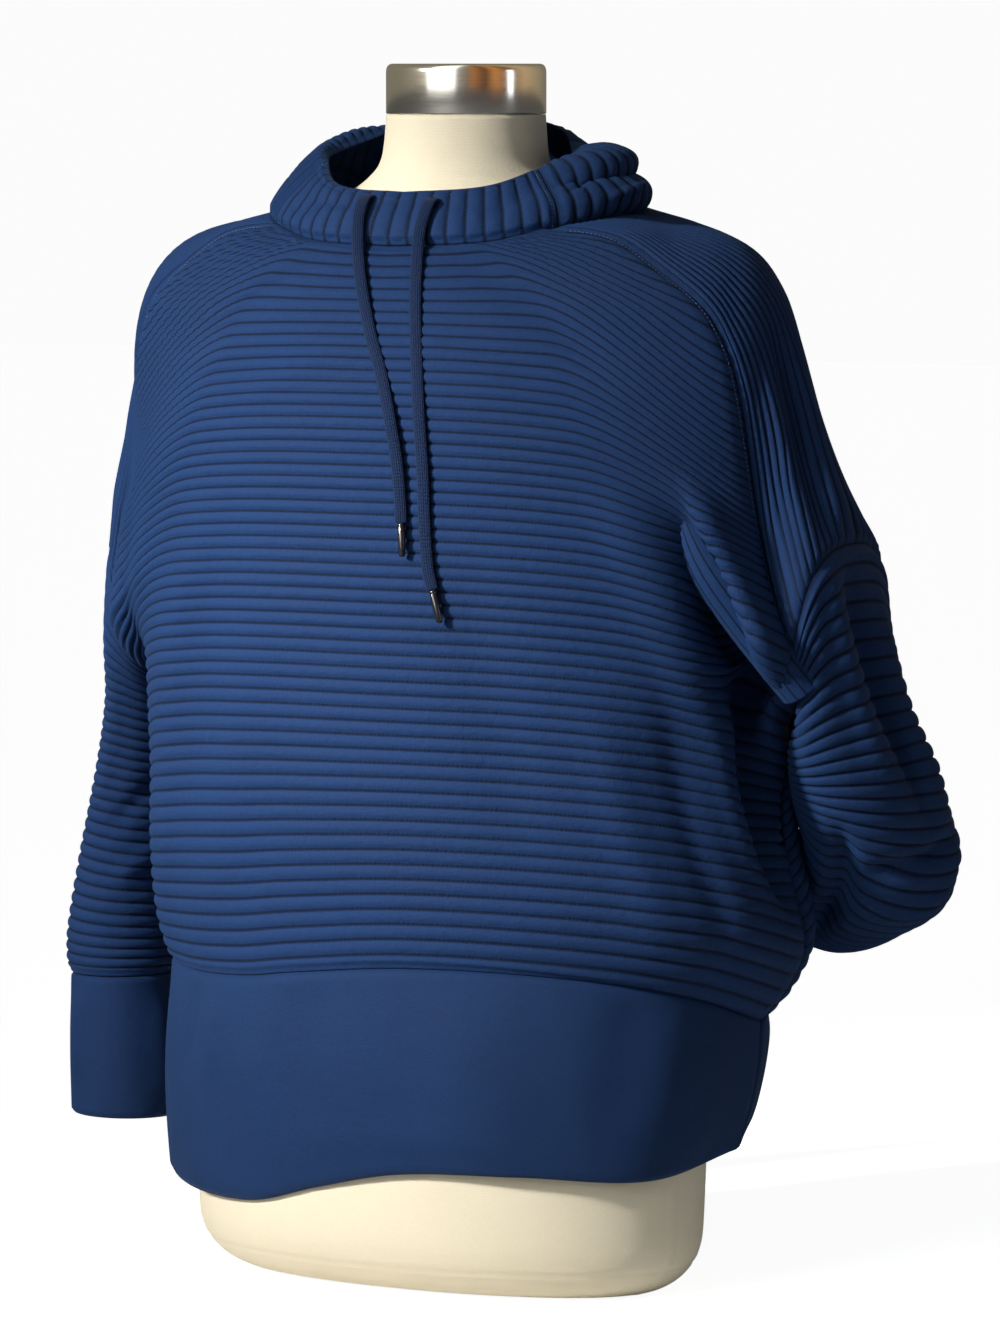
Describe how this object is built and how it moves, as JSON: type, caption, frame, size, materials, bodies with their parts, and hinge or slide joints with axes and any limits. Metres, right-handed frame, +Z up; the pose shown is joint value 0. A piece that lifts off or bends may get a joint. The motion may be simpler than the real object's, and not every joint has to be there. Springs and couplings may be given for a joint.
{
  "type": "pullover hoodie on a dress form",
  "caption": "Navy pullover hoodie with horizontal quilted ribs, raglan shoulders, wide hem band and laid-back hood, worn by a limbless dress form with a metal neck cap.",
  "frame": {"origin": "under the middle of the dress form, on the surface that it stands on", "axes": "+Z up, -Y towards the wearer's front, +X towards the wearer's left"},
  "size_m": [0.6834, 0.349, 0.8513],
  "materials": {
    "quilted_knit": "navy quilted double knit with horizontal ribs, soft sheen",
    "plain_knit": "navy plain knit, matt",
    "cord_braid": "dark navy flat braid",
    "cord_tip_dark": "dark glossy tip",
    "form_shell": "cream jersey over a smooth padded form",
    "cap_metal": "polished metal"
  },
  "bodies": {
    "root": {"front_panel": "quilted_knit", "back_panel": "quilted_knit", "left_upper_sleeve": "quilted_knit", "right_upper_sleeve": "quilted_knit", "left_lower_sleeve": "quilted_knit", "right_lower_sleeve": "quilted_knit", "left_cuff": "plain_knit", "right_cuff": "plain_knit", "collar_front": "quilted_knit", "hood_left": "quilted_knit", "hood_right": "quilted_knit", "hem_band_front": "plain_knit", "hem_band_back": "plain_knit", "dress_form": "form_shell", "neck_cap": "cap_metal", "right_drawcord": "cord_braid", "left_drawcord": "cord_braid", "right_cord_tip": "cord_tip_dark", "left_cord_tip": "cord_tip_dark"}
  },
  "joints": []
}
